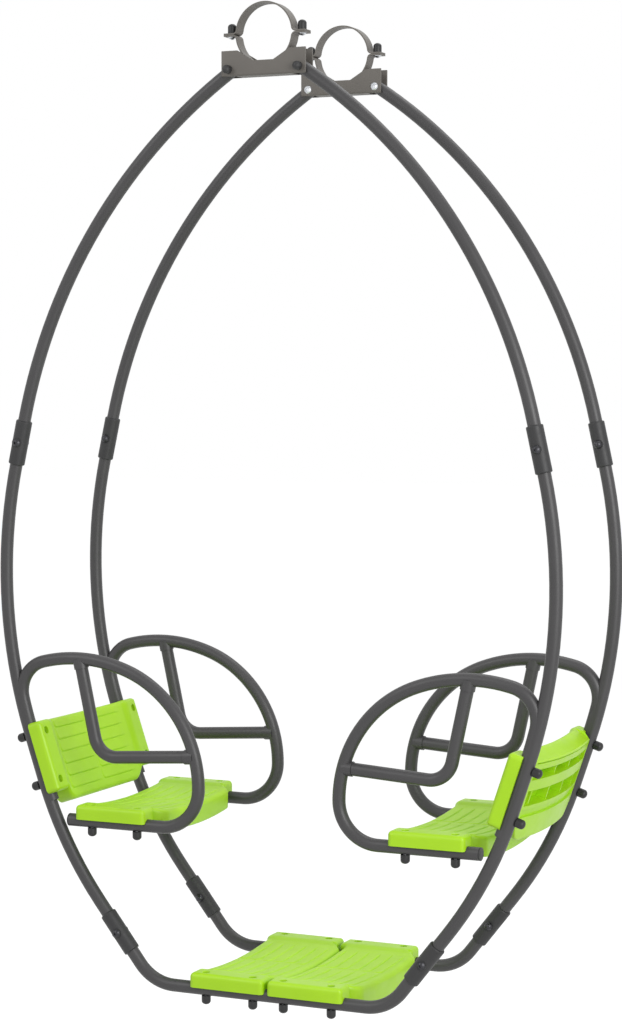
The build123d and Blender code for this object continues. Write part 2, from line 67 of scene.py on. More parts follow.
# %% [markdown]
# ## The camera
# The swing is seen from its front right, a little above seat height, through a long
# lens, so the tubes stay nearly parallel. A camera's place is easiest to set as a
# bearing, a height angle and a distance from a point that it looks at.

# %% Camera
view_bearing = math.radians(24.38)
view_height = math.radians(3.16)
view_distance = 5.206
view_target = Vector((0.0105, 0.0, -0.9711))
lens_shift = 0.00049

camera_data = bpy.data.cameras.new("studio_camera")
camera_data.lens = 87.31
camera_data.sensor_width = 36.0
camera_data.shift_x = -lens_shift
camera_data.shift_y = lens_shift
camera_data.clip_end = 100.0
camera = bpy.data.objects.new("studio_camera", camera_data)
bpy.context.scene.collection.objects.link(camera)
towards_camera = Vector((
    math.sin(view_bearing) * math.cos(view_height),
    -math.cos(view_bearing) * math.cos(view_height),
    math.sin(view_height),
))
camera.location = view_target + view_distance * towards_camera
camera.rotation_euler = (math.pi / 2 - view_height, 0.0, view_bearing)
bpy.context.scene.camera = camera
print("camera stands at", [round(value, 3) for value in camera.location])

# %% [markdown]
# ## Colours and shader nodes
# Colours are chosen on a screen, so they are written as sRGB hex values. Blender works
# with linear light, and one function turns the one into the other. A second small
# function adds a shader node with its settings and its links, so that a material reads
# as a short list of steps.

# %% Colour and node helpers
tint_range = (0.3, 0.7)
spread_range = (0.25, 0.75)


def linear(hex_colour):
    """Linear colour of an sRGB hex value: its dark end divided by 12.92, the rest a power curve."""
    srgb = np.array([int(hex_colour[i:i + 2], 16) for i in (1, 3, 5)]) / 255
    light = np.where(srgb <= 0.04045, srgb / 12.92, ((srgb + 0.055) / 1.055) ** 2.4)
    return (*light.tolist(), 1.0)


def add_node(tree, kind, settings=None, **inputs):
    """Add a shader node. Settings are its properties; an input is a value or a node's socket.

    An input is named by its label with _ for a space, or by _ and its number.
    """
    node = tree.nodes.new(kind)
    for name, value in (settings or {}).items():
        setattr(node, name, value)
    for name, value in inputs.items():
        key = int(name[1:]) if name[0] == "_" else name.replace("_", " ")
        if isinstance(value, bpy.types.NodeSocket):
            tree.links.new(value, node.inputs[key])
        else:
            node.inputs[key].default_value = value
    return node


def pattern_scale(size_in_mm):
    """Noise scale whose features are about this size, for coordinates in metres."""
    return 1.0 / (size_in_mm * millimetre)


def new_material(name):
    """An empty material, its node tree, and the coordinates of the piece it is on."""
    material = bpy.data.materials.new(name)
    material.use_nodes = True
    tree = material.node_tree
    tree.nodes.clear()
    place = add_node(tree, "ShaderNodeTexCoord").outputs["Object"]
    return material, tree, place


def finish_material(tree, shader):
    """Send a shader to the surface."""
    add_node(tree, "ShaderNodeOutputMaterial", Surface=shader.outputs[0])


def noise(tree, place, size_in_mm, detail):
    """Soft noise around one half, with features of about the given size."""
    return add_node(
        tree, "ShaderNodeTexNoise",
        Vector=place, Scale=pattern_scale(size_in_mm), Detail=detail,
    ).outputs["Fac"]


def tinted(tree, place, light, dark, size_in_mm):
    """Colour that drifts between two near shades in clouds of the given size."""
    ramp = add_node(tree, "ShaderNodeValToRGB", Fac=noise(tree, place, size_in_mm, detail=3.0))
    for stop, share, shade in zip(ramp.color_ramp.elements, tint_range, (dark, light)):
        stop.position = share
        stop.color = linear(shade)
    return ramp.outputs["Color"]


def spread(tree, place, low, high, size_in_mm):
    """A number that drifts between two values in clouds of the given size."""
    scaled = add_node(
        tree, "ShaderNodeMapRange", Value=noise(tree, place, size_in_mm, detail=2.0),
        From_Min=spread_range[0], From_Max=spread_range[1], To_Min=low, To_Max=high,
    )
    return scaled.outputs["Result"]


def grain(tree, place, size_in_mm, depth_in_mm, detail=3.0):
    """Bumped normal of a fine even grain with the given size and depth."""
    bump = add_node(
        tree, "ShaderNodeBump", Height=noise(tree, place, size_in_mm, detail),
        Strength=1.0, Distance=depth_in_mm * millimetre,
    )
    return bump.outputs["Normal"]


print("mid grey #808080 is", round(linear("#808080")[0], 3), "in linear light")

# %% [markdown]
# ## Moulded polyethylene, lime green
# The boards are injection moulded in polyethylene coloured right through. The skin is
# waxy: an even, saturated colour, a broad soft sheen, and a very slight clouding where
# the melt cooled at different speeds. The tread between the pads was textured in the
# mould so that it isn't slippery, and so is a little duller. Its top is also painted a
# paler green: painted light, standing in for the light that falls on the upward faces.

# %% Polyethylene
tread_dullness = 0.12


def polyethylene():
    """Waxy coloured plastic, duller on the tread; the top there is painted paler, as painted light."""
    material, tree, place = new_material("moulded_polyethylene_lime")
    # The mask marks the top between the pads: a real duller texture there, and a paler colour that is
    # painted light.
    tread_and_lit_top = add_node(tree, "ShaderNodeAttribute", {"attribute_name": "tread_and_lit_top"}).outputs["Fac"]
    plain = tinted(tree, place, "#A8DA12", "#A2D40F", size_in_mm=90.0)
    # The paler green for the top is painted light: it stands in for the light falling on the upward
    # faces.
    lit_top_colour = tinted(tree, place, "#AFE026", "#A8DA22", size_in_mm=90.0)
    colour = add_node(
        tree, "ShaderNodeMix", {"data_type": "RGBA"},
        _0=tread_and_lit_top, _6=plain, _7=lit_top_colour,
    )
    dull = add_node(
        tree, "ShaderNodeMath", {"operation": "MULTIPLY_ADD"},
        _0=tread_and_lit_top, _1=tread_dullness,
        _2=spread(tree, place, low=0.36, high=0.46, size_in_mm=25.0),
    )
    shader = add_node(
        tree, "ShaderNodeBsdfPrincipled",
        Base_Color=colour.outputs[2],
        Roughness=dull.outputs[0],
        Normal=grain(tree, place, size_in_mm=2.2, depth_in_mm=0.06),
        IOR=1.51,
    )
    finish_material(tree, shader)
    return material


polyethylene_finish = polyethylene()
print("made", polyethylene_finish.name)

# %% [markdown]
# ## Powder-coated steel tube, dark grey
# Powder coat is sprayed on dry and baked until it flows. It covers the steel completely
# and keeps a faint orange peel, which breaks up a highlight without dulling it. It is a
# paint over metal, so it shades as a plastic, not as a metal.

# %% Powder coats and bracket coat
def baked_coat(name, light, dark, dull, peel_mm, peel_depth_mm):
    """Baked paint with orange peel; peel_mm is drawn coarser than life so that it shows."""
    material, tree, place = new_material(name)
    shader = add_node(
        tree, "ShaderNodeBsdfPrincipled",
        Base_Color=tinted(tree, place, light, dark, size_in_mm=140.0),
        Roughness=spread(tree, place, dull - 0.04, dull + 0.05, size_in_mm=40.0),
        Normal=grain(tree, place, peel_mm, peel_depth_mm, detail=1.0),
        IOR=1.5,
    )
    finish_material(tree, shader)
    return material


powder_coat = baked_coat(
    "powder_coated_steel_grey", "#3F3E3F", "#3A393A",
    dull=0.42, peel_mm=3.0, peel_depth_mm=0.03,
)
bracket_coat = baked_coat(
    "coated_bracket_steel", "#69655F", "#5F5B56",
    dull=0.46, peel_mm=1.6, peel_depth_mm=0.05,
)
print("made", powder_coat.name, "and", bracket_coat.name)

# %% [markdown]
# ## Moulded polypropylene, charcoal
# The joint sleeves, nut covers and tube plugs are small polypropylene mouldings. They
# come from a spark-eroded mould, whose fine even grain makes them duller than the coat
# on the tube that they sit on.

# %% Polypropylene
def polypropylene(name, light, dark, dull):
    """Dull grained plastic."""
    material, tree, place = new_material(name)
    shader = add_node(
        tree, "ShaderNodeBsdfPrincipled",
        Base_Color=tinted(tree, place, light, dark, size_in_mm=60.0),
        Roughness=spread(tree, place, dull - 0.06, dull + 0.06, size_in_mm=18.0),
        Normal=grain(tree, place, size_in_mm=1.2, depth_in_mm=0.05),
        IOR=1.49,
    )
    finish_material(tree, shader)
    return material


sleeve_plastic = polypropylene("moulded_polypropylene_charcoal", "#2D2D2E", "#272728", dull=0.5)
plug_plastic = polypropylene("moulded_polyethylene_black", "#1D1D1E", "#171718", dull=0.45)
print("made", sleeve_plastic.name, "and", plug_plastic.name)

# %% [markdown]
# ## Plated fasteners
# Bolts and nuts are zinc plated: bright, slightly blue, with faint cloudy patches left
# by the bath. The joint bolts are blackened instead, which leaves a dark satin metal.
# Both are bare metal to the light, so metallic is 1 and the index stays at its default.

# %% Zinc plate and blackened steel
def plated(name, light, dark, bright, dim):
    """Bare metal whose roughness drifts in cloudy patches a few millimetres wide."""
    material, tree, place = new_material(name)
    shader = add_node(
        tree, "ShaderNodeBsdfPrincipled",
        Base_Color=tinted(tree, place, light, dark, size_in_mm=8.0),
        Metallic=1.0,
        Roughness=spread(tree, place, bright, dim, size_in_mm=5.0),
        Normal=grain(tree, place, size_in_mm=0.8, depth_in_mm=0.01),
    )
    finish_material(tree, shader)
    return material


zinc_plate = plated("zinc_plated_steel", "#D4D6D9", "#C2C5C9", bright=0.22, dim=0.36)
black_steel = plated("blackened_steel", "#4A4A4D", "#3C3C3F", bright=0.30, dim=0.42)
print("made", zinc_plate.name, "and", black_steel.name)

# %% [markdown]
# ## Dress the exact parts
# Each part keeps its exact shape and takes a finish by what it is. The first word that
# a part's name starts with picks the finish.

# %% Give every part its finish
part_finishes = {
    "foot_board": polyethylene_finish,
    "seat_board": polyethylene_finish,
    "back_board_front": polyethylene_finish,
    "back_board_rear": polyethylene_finish,
    "hanger_tube": powder_coat,
    "seat_tube": powder_coat,
    "foot_tube": powder_coat,
    "armrest_hoop": powder_coat,
    "grab_bar": powder_coat,
    "clamp_upper_strap": bracket_coat,
    "clamp_lower_strap": bracket_coat,
    "saddle_bracket": bracket_coat,
    "upper_joint_sleeve": sleeve_plastic,
    "lower_joint_sleeve": sleeve_plastic,
    "clamp_nut_caps": sleeve_plastic,
    "hanger_nut_caps": sleeve_plastic,
    "board_nut_caps": sleeve_plastic,
    "hoop_end_plugs": plug_plastic,
    "hanger_bolts": zinc_plate,
    "hanger_nuts": zinc_plate,
    "hanger_spacers": zinc_plate,
    "clamp_bolts": zinc_plate,
    "clamp_nuts": zinc_plate,
    "board_bolts": zinc_plate,
    "back_board_bolts": zinc_plate,
    "board_nuts": zinc_plate,
    "joint_bolts": black_steel,
    "joint_cap_nuts": black_steel,
}

for start, finish in part_finishes.items():
    dressed = [part for name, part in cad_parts.items() if name.startswith(start)]
    for part in dressed:
        for material_slot in part.material_slots:
            material_slot.material = finish
    print(start, "->", finish.name, "on", len(dressed))

# %% [markdown]
# ## The outline of a board
# A board is one thick moulding: a flat pad at each end, where it is bolted down, and a
# dished middle with a rolled lip. Its outline is easiest to give as two functions of the
# place v along the board: how far the rear edge and the front edge lie from its middle
# line. Corners in plan are quarter circles, and the lip runs out of the pads in a soft
# curve. For each place an outline holds the reach of the pads to the rear and the front,
# how far the rear edge is set in between the pads, and the reach of the lip.

# %% Board sizes, in millimetres
board_end = 213.5
pad_start = 167.0
pad_top = 35.3
pad_corner_radius = 10.0
notch_depth = 5.0
lip_reach = 101.5
lip_run = 34.0
lip_swell_power = 2.4
recess_run = 6.0
dish_half_length = 162.0
dish_shoulder = 30.3
dish_depth = 10.0
step_start = 152.0
step_run = 22.0
rolled_edge = 10.0
under_edge = 4.0
flange_level = -14.5
skirt_level = 4.7
tube_axis_v = 193.7
tube_clear_radius = 13.8
board_outlines = {
    "foot_board_front": {"rear": 84.5, "front": 84.5, "recess": 12.0, "lip": 101.5},
    "foot_board_rear": {"rear": 84.5, "front": 84.5, "recess": 2.5, "lip": 101.5},
    "seat_board_front": {"rear": 86.0, "front": 79.5, "recess": 2.5, "lip": 101.5},
    "seat_board_rear": {"rear": 86.0, "front": 79.5, "recess": 2.5, "lip": 101.5},
    "back_board_front": {"rear": 77.0, "front": 78.5, "recess": 1.0, "lip": 104.5},
    "back_board_rear": {"rear": 77.0, "front": 78.5, "recess": 1.0, "lip": 104.5},
}


def ramp_up(value, width):
    """Smooth step from 0 at zero to 1 at the width."""
    t = np.clip(value / width, 0.0, 1.0)
    return t * t * (3.0 - 2.0 * t)


def corner_cut(to_end, radius):
    """What a quarter circle takes off an edge near its end: the radius less its height there."""
    left = np.clip(radius - to_end, 0.0, radius)
    return radius - np.sqrt(radius ** 2 - left ** 2)


def front_edge(v, outline):
    """Front edge: the pad's rounded rectangle, and between the pads a lip that swells out."""
    a = np.abs(v)
    outer_corner = corner_cut(board_end - a, pad_corner_radius)
    pad = outline["front"] - outer_corner - corner_cut(a - pad_start, notch_depth)
    swell = 1.0 - (1.0 - np.clip((pad_start - a) / lip_run, 0.0, 1.0)) ** lip_swell_power
    lip_root = outline["front"] - notch_depth
    return np.where(a >= pad_start, pad, lip_root + (outline["lip"] - lip_root) * swell)


def rear_edge(v, outline):
    """Rear edge: the pad's rounded rectangle, and between the pads a straight edge set in."""
    a = np.abs(v)
    pad = corner_cut(board_end - a, pad_corner_radius)
    return pad - outline["rear"] + outline["recess"] * ramp_up(pad_start - a, recess_run)


for node, outline in board_outlines.items():
    print(node, "reaches from", rear_edge(0.0, outline), "to", front_edge(0.0, outline), "mm")

# %% [markdown]
# ## The grid that all board surfaces share
# A grid line runs along every edge of a pocket, a groove, a rib or a bolt hole, so those
# edges come out crisp. Between such lines the spacing is even, and at the rim it closes
# up so that the rolled edge is round. Distances across the board are called u.

# %% Grid lines of a board
hole_half = 12.25
bolt_u = 53.75
grid_u_end = bolt_u + hole_half
rim_steps = np.array([0.0, 0.3, 1.0, 2.2, 3.8, 6.0, 9.0, 12.0, 16.0])
even_steps_from = 13.2
step_across = 1.3
step_along = 1.7
pockets = ((-49.0, -27.0), (-4.0, 29.0))
narrow_groove = (-64.0, -61.5)
broad_groove = (37.0, 54.0)
pocket_end = 160.0
panel_end = 172.0
cross_rib_pitch = 88.0
cross_rib_count = 4
cross_rib_half = 2.0
wall_draft = 0.8


def lines_through(marks, spacing):
    """Even grid lines no further apart than the spacing, with one on every mark."""
    marks = np.unique(np.round(marks, 4))
    runs = [
        np.linspace(low, high, max(2, int(np.ceil((high - low) / spacing)) + 1))[:-1]
        for low, high in zip(marks[:-1], marks[1:])
    ]
    return np.concatenate(runs + [marks[-1:]])


def grid_lines():
    """Grid lines of the board and the middles of its cross ribs.

    The inner lines run at fixed places between the outer edges of the bolt holes. The
    lines outside them are shares of the way from there, 0, to the board's edge, 1.
    """
    hollows = np.array([*pockets, narrow_groove, broad_groove])
    hollow_marks = np.concatenate([hollows, hollows + [wall_draft, -wall_draft]]).reshape(-1)
    hole_marks = np.array([bolt_u - hole_half, grid_u_end])
    inner = lines_through(np.concatenate([hollow_marks, -hole_marks, hole_marks]), step_across)
    rear_band = 1.0 - rim_steps / rim_steps[-1]
    lip_band = lip_reach - grid_u_end
    even_steps = np.arange(even_steps_from, lip_band, step_across)
    front_marks = np.concatenate([rim_steps[:-1], even_steps])
    front_band = np.sort(1.0 - front_marks / lip_band)

    ribs = cross_rib_pitch * (np.arange(cross_rib_count) - (cross_rib_count - 1) / 2)
    rib_foot = cross_rib_half + wall_draft
    offsets = np.array([-rib_foot, -cross_rib_half, cross_rib_half, rib_foot])
    middle = (ribs[:, None] + offsets).reshape(-1)
    half = np.array([
        pad_start, pocket_end, pocket_end - wall_draft, panel_end, panel_end - wall_draft,
        tube_axis_v - hole_half, tube_axis_v + hole_half,
    ])
    rim = board_end - rim_steps[rim_steps < board_end - tube_axis_v - hole_half]
    along = lines_through(np.concatenate([-half, middle, half]), step_along)
    along = np.unique(np.concatenate([-rim, along, rim]))
    return rear_band, inner, front_band, along, ribs


rear_band, inner_lines, front_band, along_lines, rib_places = grid_lines()


def plan_points(rear_reach, outline):
    """Plan of the grid: inner lines are straight, and both bands stretch to the board's edges."""
    v = along_lines
    rear = -grid_u_end + (rear_reach + grid_u_end)[None, :] * rear_band[:-1, None]
    front = grid_u_end + (front_edge(v, outline) - grid_u_end)[None, :] * front_band[:, None]
    inner = np.repeat(inner_lines[:, None], len(v), axis=1)
    u = np.concatenate([rear, inner, front[front_band > 0]])
    return u, np.repeat(v[None, :], len(u), axis=0)


print("board grid", len(rear_band) + len(inner_lines) + len(front_band), "x", len(along_lines))

# %% [markdown]
# ## The tread
# The dish carries long shingles in two columns. Each is a shallow wedge: flush with its
# neighbour at the back, raised at its edge towards the lip, with a rounded corner at one
# end. It could be drawn as a bump, but a real edge catches the light from every side, so
# it is worked out as a height over the grid.

# %% Shingles
shingle_first_line = -54.0
shingle_pitch = 27.0
shingle_rows = 6
shingle_rise = 1.8
shingle_corner = 10.0
shingle_edge = 1.6
column_starts = (-148.0, 4.0)
column_ends = (2.0, 142.0)
column_fade = 24.0
groove_width = 1.5
groove_reach = 4.5
groove_depth = 1.2


def shingle_height(u, v, start, end, line):
    """Height of one shingle over the dish.

    The wedge grows from 0 at the line before to its full rise at its own line. It is cut
    off at its own line and at its start, with a quarter circle between the two cuts, and
    a fine groove follows that cut. It fades out towards its end.
    """
    wedge = np.clip((u - line) / shingle_pitch + 1.0, 0.0, 1.0)
    beyond_line = u - line + shingle_corner
    beyond_start = start - v + shingle_corner
    corner = np.hypot(np.maximum(beyond_line, 0.0), np.maximum(beyond_start, 0.0))
    outside = corner + np.minimum(np.maximum(beyond_line, beyond_start), 0.0) - shingle_corner
    in_row = (u > line - shingle_pitch) & (u < line + groove_reach)
    body = wedge * ramp_up(-outside, shingle_edge) * in_row
    groove = wedge * np.exp(-(outside / groove_width) ** 2) * in_row
    fade = ramp_up(end - v, column_fade)
    return (shingle_rise * body - groove_depth * groove) * fade


def tread_relief(u, v):
    """Sum of all shingles over the dish."""
    relief = np.zeros_like(u)
    for start, end in zip(column_starts, column_ends):
        for row in range(shingle_rows):
            relief += shingle_height(u, v, start, end, shingle_first_line + row * shingle_pitch)
    return relief


print("tread of", shingle_rows * len(column_starts), "shingles, each", shingle_pitch, "mm wide")

# %% [markdown]
# ## Top and underside
# The top is the dish, a soft step up to the pads, the shingles and a rolled edge. The
# underside hangs in a shallow belly between the tubes. Two rows of pockets, divided by
# cross ribs, go up into it with a broad rail between them and a groove on either side,
# and over each tube there is a saddle that fits it.

# %% Heights of a board
cross_rib_drop = 5.0
pocket_depth = 26.0
narrow_groove_depth = 6.0
broad_groove_depth = 5.0
under_rear_edge = -68.0
belly = 10.5
belly_half_length = 150.0


def rim_distance(u, v, outline):
    """Distance in from the outline: the least of the ways to both edges and to the end."""
    across = np.minimum(u - rear_edge(v, outline), front_edge(v, outline) - u)
    along = board_end - np.abs(v)
    return np.minimum(across, along)


def roll(distance, radius):
    """Drop of a quarter-round edge: the radius less the circle's height at that distance."""
    left = radius - np.clip(distance, 0.0, radius)
    return radius - np.sqrt(np.clip(radius ** 2 - left ** 2, 0.0, None))


def bare_top(v):
    """Dish as a parabola, and a smooth step up to the flat pads."""
    dish = dish_shoulder - dish_depth * (1.0 - (v / dish_half_length) ** 2)
    step = ramp_up(np.abs(v) - step_start, step_run)
    return np.minimum(dish, pad_top) * (1.0 - step) + pad_top * step


def top_height(u, v, outline):
    """Bare top and shingles, rolled down at the rim."""
    return bare_top(v) + tread_relief(u, v) - roll(rim_distance(u, v, outline), rolled_edge)


def under_edge_rear(v, outline):
    """Rear edge of the underside: the rear wall leans in towards it, as far as the tubes."""
    edge = rear_edge(v, outline | {"recess": 0.0})
    return np.where(np.abs(v) < panel_end, under_rear_edge, edge)


def hollow_share(u, low, high):
    """How far a place is into a hollow: 0 outside, 1 inside, and walls that lean by the draft."""
    return np.clip(np.minimum(u - low, high - u) / wall_draft, 0.0, 1.0)


def under_height(u, v, outline):
    """Underside of the board.

    The panel between the tubes has a belly: it hangs lowest in the middle, as a parabola.
    Pockets go up from it to a wall's thickness under the top, with cross ribs in them, and
    two grooves run beside them. Beyond the panel the pads are flat, with a saddle over
    each tube.
    """
    a = np.abs(v)
    level = flange_level - belly * (1.0 - (v / belly_half_length) ** 2)
    rib = np.abs(v[..., None] - rib_places).min(axis=-1) - cross_rib_half
    pocket = cross_rib_drop + np.clip(rib / wall_draft, 0.0, 1.0) * (pocket_depth - cross_rib_drop)
    share = sum(hollow_share(u, low, high) for low, high in pockets)
    inside = np.clip((pocket_end - a) / wall_draft, 0.0, 1.0)
    grooves = narrow_groove_depth * hollow_share(u, *narrow_groove)
    grooves = grooves + broad_groove_depth * hollow_share(u, *broad_groove)
    rim = np.minimum(u - under_edge_rear(v, outline), front_edge(v, outline) - u)
    panel = level + inside * (share * pocket + grooves) + roll(rim, under_edge)
    saddle = np.sqrt(np.clip(tube_clear_radius ** 2 - (a - tube_axis_v) ** 2, 0.0, None))
    return np.where(a < panel_end, panel, np.maximum(skirt_level, saddle))


print("top lies at", bare_top(0.0), "mm in the middle and", bare_top(board_end), "mm on the pads")

# %% [markdown]
# ## Bolt holes
# Each pad is sunk round its two bolts. A square of the grid is taken out there, and a
# fan of rings leads from that square to the round rim, over a small radius, down the
# hole's wall and across its floor.

# %% One bolt hole
hole_radius = 8.0
hole_rim = 1.2
hole_floor = 18.4
blend_shares = (0.35, 0.7, 1.0)
rim_turns = np.radians([25.0, 50.0, 75.0, 90.0])
wall_levels = (pad_top - 6.0, hole_floor + 0.5, hole_floor)
floor_shares = (0.6, 0.2, 0.0)


def hole_rings(square, centre):
    """Rings of points from a square loop inwards.

    The first ones blend the square into a circle. A quarter round leads over the rim to
    the hole's wall, and the last ones close its floor.
    """
    angle = np.arctan2(square[:, 1] - centre[1], square[:, 0] - centre[0])
    way = np.stack([np.cos(angle), np.sin(angle)], axis=-1)
    outer = hole_radius + hole_rim

    def ring(radius, height):
        """Circle round the centre at a height."""
        return np.concatenate([centre + radius * way, np.full((len(way), 1), height)], axis=-1)

    flat = [square * (1.0 - share) + ring(outer, pad_top) * share for share in blend_shares]
    rim = [
        ring(outer - hole_rim * np.sin(turn), pad_top - hole_rim * (1.0 - np.cos(turn)))
        for turn in rim_turns
    ]
    wall = [ring(hole_radius, height) for height in wall_levels]
    floor = [ring(hole_radius * share, hole_floor) for share in floor_shares]
    return np.stack(flat + rim + wall + floor)


print("a bolt hole is", 2 * hole_radius, "mm wide and", round(pad_top - hole_floor, 1), "mm deep")

# %% [markdown]
# ## Put a board together
# Top and underside share one grid, so their rims have the same number of points, and
# three rows of faces down the edge close the board. Every mesh here is made of numbered
# points and of four-sided faces between the neighbours in a grid of those numbers.

# %% Faces of a grid
def quads(index):
    """Four-sided faces between neighbours of a grid of point numbers."""
    corners = [index[:-1, :-1], index[1:, :-1], index[1:, 1:], index[:-1, 1:]]
    return np.stack(corners, axis=-1).reshape(-1, 4)


def looped(index):
    """The same grid with its first column once more at the end, so that its rows close."""
    return np.concatenate([index, index[..., :1]], axis=-1)


def numbered(points, first):
    """Numbers for an array of points, counted on from the first."""
    return first + np.arange(points[..., 0].size).reshape(points.shape[:-1])


def rim_loop(index):
    """Point numbers round the edge of a grid, in order."""
    return np.concatenate([index[:-1, 0], index[-1, :-1], index[:0:-1, -1], index[0, :0:-1]])


def weld(mesh):
    """Join points that lie on one spot, so that poles and seams are closed."""
    working = bmesh.new()
    working.from_mesh(mesh)
    bmesh.ops.remove_doubles(working, verts=working.verts, dist=1e-7)
    working.to_mesh(mesh)
    working.free()


sample = np.arange(6).reshape(2, 3)
print("2 by 3 points make", len(quads(sample)), "faces, with", len(rim_loop(sample)), "points on the rim")

# %% Board mesh
side_shares = (0.33, 0.67)
tread_margin = 8.0
tread_fade = 12.0
tread_lowest = 12.0


def nearest(lines, *places):
    """Numbers of the grid lines nearest to some places."""
    return [np.abs(lines - place).argmin() for place in places]


def board_mesh(name, outline, axes, origin):
    """Closed mesh of a board, in its own millimetres until its axes and origin place it."""
    u, v = plan_points(rear_edge(along_lines, outline), outline)
    under_u, _ = plan_points(under_edge_rear(along_lines, outline), outline)
    top = np.stack([u, v, top_height(u, v, outline)], axis=-1)
    under = np.stack([under_u, v, under_height(under_u, v, outline)], axis=-1)
    top_index = numbered(top, 0)
    under_index = numbered(under, u.size)
    points = [top.reshape(-1, 3), under.reshape(-1, 3)]
    total = 2 * u.size

    kept = np.ones((u.shape[0] - 1, u.shape[1] - 1), dtype=bool)
    middle_column = u[:, u.shape[1] // 2]
    faces = []
    for bolt in (-bolt_u, bolt_u):
        for tube in (-tube_axis_v, tube_axis_v):
            first_row, last_row = nearest(middle_column, bolt - hole_half, bolt + hole_half)
            first, last = nearest(along_lines, tube - hole_half, tube + hole_half)
            kept[first_row:last_row, first:last] = False
            square = rim_loop(top_index[first_row:last_row + 1, first:last + 1])
            rings = hole_rings(points[0][square], np.array([bolt, tube]))
            points.append(rings.reshape(-1, 3))
            fan = np.concatenate([square[None, :], numbered(rings, total)])
            total += len(points[-1])
            faces.append(quads(looped(fan))[:, ::-1])
    faces.append(quads(top_index).reshape(kept.shape + (4,))[kept])
    faces.append(quads(under_index)[:, ::-1])

    top_rim = rim_loop(top_index)
    upper = points[0][top_rim]
    lower = points[1][top_rim]
    walls = np.stack([upper * (1.0 - share) + lower * share for share in side_shares])
    points.append(walls.reshape(-1, 3))
    under_rim = rim_loop(under_index)
    side = np.concatenate([top_rim[None, :], numbered(walls, total), under_rim[None, :]])
    faces.append(quads(looped(side)))

    mesh = bpy.data.meshes.new(name)
    points = np.concatenate(points)
    faces = np.concatenate(faces)
    # The mask covers the top between the pads: it makes that face duller, and it paints it paler as
    # painted light from above.
    tread_and_lit_top = ramp_up(pad_start - tread_margin - np.abs(points[:, 1]), tread_fade)
    tread_and_lit_top *= points[:, 2] > tread_lowest
    mesh.vertices.add(len(points))
    mesh.vertices.foreach_set("co", (points * millimetre @ axes + origin).reshape(-1))
    mesh.loops.add(faces.size)
    mesh.loops.foreach_set("vertex_index", faces.reshape(-1))
    mesh.polygons.add(len(faces))
    mesh.polygons.foreach_set("loop_start", np.arange(0, faces.size, 4))
    mesh.update(calc_edges=True)
    mesh.attributes.new("tread_and_lit_top", "FLOAT", "POINT").data.foreach_set("value", tread_and_lit_top)
    weld(mesh)
    mesh.validate()
    return mesh


print("the tread's look ends", tread_margin, "mm before the pads and fades over", tread_fade, "mm")

# %% [markdown]
# ## Standing in for an exact part
# A new shape takes the place of an exact part: it moves with the same body, keeps the
# part's kind of material, and is measured from the part's own points.

# %% Read a part and put a piece in its place
board_crease = math.radians(50.0)
small_crease = math.radians(40.0)


def exact_points(node):
    """All vertices of an exact part, in metres."""
    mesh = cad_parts[node].data
    flat = np.empty(len(mesh.vertices) * 3)
    mesh.vertices.foreach_get("co", flat)
    return flat.reshape(-1, 3)


def add_piece(mesh, finish, body, node, crease=small_crease):
    """Put a mesh in the scene as the visible shape of an exact part."""
    mesh.materials.append(finish)
    mesh.shade_smooth()
    mesh.set_sharp_from_angle(angle=crease)
    piece = bpy.data.objects.new(mesh.name, mesh)
    bpy.context.scene.collection.objects.link(piece)
    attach(piece, body)
    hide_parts(node)
    print(piece.name, "with", len(mesh.polygons), "faces")


print("the rear foot board's exact part has", len(exact_points("foot_board_rear")), "points")

# %% [markdown]
# ## Six boards
# The seats and foot boards lie level with the lip to the front. Each backrest stands on
# the hoop's leg with its lip down and faces the middle of the swing. Where each board
# lies is read from the exact part that it stands for. The front foot board's rear edge
# is set in further, because the lip of the board behind it reaches in there.

# %% Place the boards
back_lean = math.radians(18.6)
level_axes = (np.array([1.0, 0.0, 0.0]), np.array([0.0, 0.0, 1.0]))
front_back_axes = (
    np.array([-math.sin(back_lean), 0.0, -math.cos(back_lean)]),
    np.array([-math.cos(back_lean), 0.0, math.sin(back_lean)]),
)
rear_back_axes = tuple(axis * np.array([-1.0, 1.0, 1.0]) for axis in front_back_axes)
board_axes = {
    "foot_board_front": level_axes,
    "foot_board_rear": level_axes,
    "seat_board_front": level_axes,
    "seat_board_rear": level_axes,
    "back_board_front": front_back_axes,
    "back_board_rear": rear_back_axes,
}


def board_origin(node, lip_way, sitter_way):
    """Middle of a board's frame, from how far the exact part reaches along two of its axes."""
    points = exact_points(node)
    lip = (points @ lip_way).max() - lip_reach * millimetre
    top = (points @ sitter_way).max() - pad_top * millimetre
    return lip * lip_way + top * sitter_way


board_frames = {}
for node, (lip_way, sitter_way) in board_axes.items():
    axes = np.stack([lip_way, np.cross(sitter_way, lip_way), sitter_way])
    origin = board_origin(node, lip_way, sitter_way)
    board_frames[node] = (axes, origin)
    print(node, "has its middle at", np.round(origin, 4))
    mesh = board_mesh(f"{node}_moulding", board_outlines[node], axes, origin)
    add_piece(mesh, polyethylene_finish, swing_body, node, board_crease)

# %% [markdown]
# ## Nut covers
# Every nut wears a press-on plastic cover: a straight skirt and a domed end. A cover is
# its profile turned round an axis, and all covers of one kind make one piece. Their
# places under the boards follow from the boards' own frames, and those on the clamps
# are read from the exact covers.

# %% Covers on the nuts
cover_sides = 32
cover_dome_rings = 9
cover_edge = 0.6
board_cover = {"radius": 9.6, "height": 19.0, "dome": 7.5}
clamp_cover = {"radius": 8.9, "height": 20.5, "dome": 7.0}
flat_seat_level = -13.45
back_seat_level = -18.95


